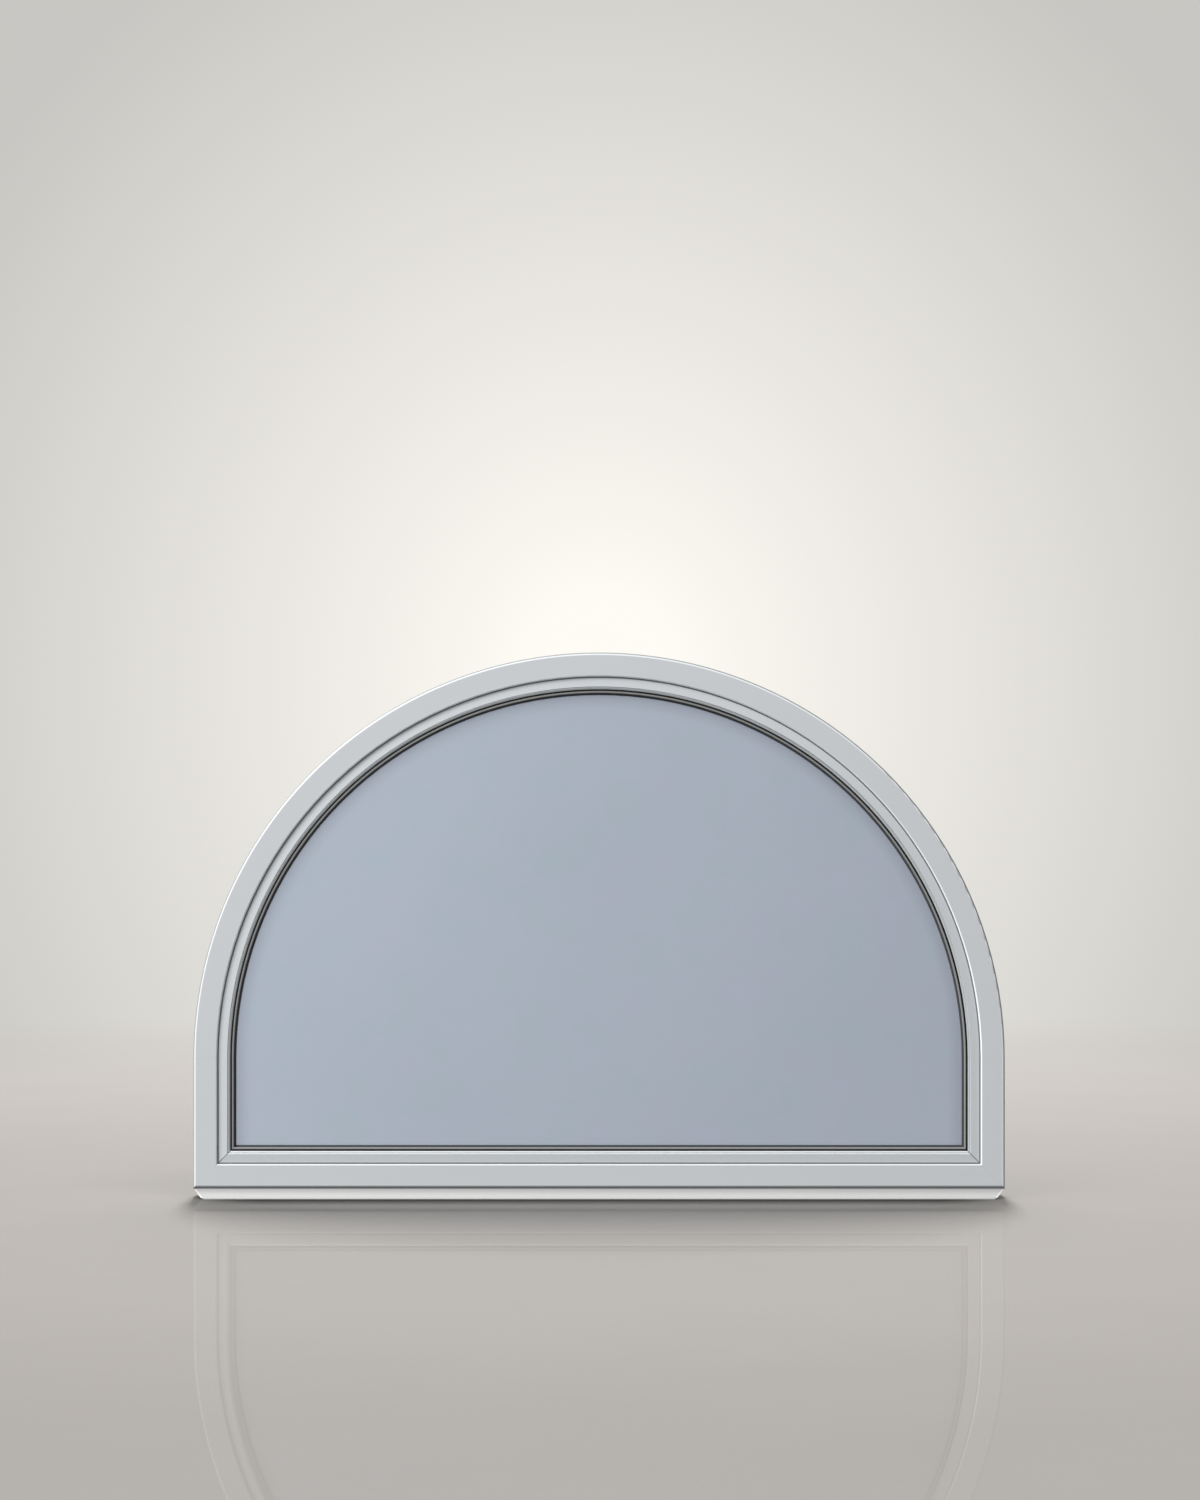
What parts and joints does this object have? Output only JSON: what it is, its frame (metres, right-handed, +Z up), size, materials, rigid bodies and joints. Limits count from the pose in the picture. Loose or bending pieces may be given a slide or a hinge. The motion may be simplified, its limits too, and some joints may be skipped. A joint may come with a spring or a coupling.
{
  "type": "arched window",
  "caption": "Fixed window with a half-round head on short straight jambs: white plastic frame, clipped glazing bead, gasket, blue-grey insulating glass and a coved base sill.",
  "frame": {"origin": "On the floor, midway across the width and midway between the sill's nose and the frame's back.", "axes": "+X along the width, +Y from the beaded front to the back, +Z up."},
  "size_m": [1.5, 0.078, 1.0093],
  "materials": {
    "white_plastic": "satin white",
    "black_rubber": "matte black",
    "grey_rubber": "matte grey",
    "clear_glass": "clear float glass",
    "satin_glass": "blue-grey obscure glass",
    "spacer_aluminium": "mill finish",
    "block_plastic": "moulded"
  },
  "bodies": {
    "root": {"bead_arch": "white_plastic", "bead_bottom": "white_plastic", "frame_arch_head": "white_plastic", "frame_bottom_rail": "white_plastic", "frame_left_jamb": "white_plastic", "frame_right_jamb": "white_plastic", "front_gasket_arch": "black_rubber", "front_gasket_bottom": "black_rubber", "glass_edge_seal": "black_rubber", "glass_front_pane": "satin_glass", "glass_rear_pane": "clear_glass", "glass_spacer_bar": "spacer_aluminium", "glazing_spline_arch": "grey_rubber", "glazing_spline_bottom": "grey_rubber", "rear_gasket_arch": "black_rubber", "rear_gasket_bottom": "black_rubber", "setting_block_left": "block_plastic", "setting_block_right": "block_plastic", "sill_end_cap_left": "white_plastic", "sill_end_cap_right": "white_plastic", "sill_profile": "white_plastic"}
  },
  "joints": []
}
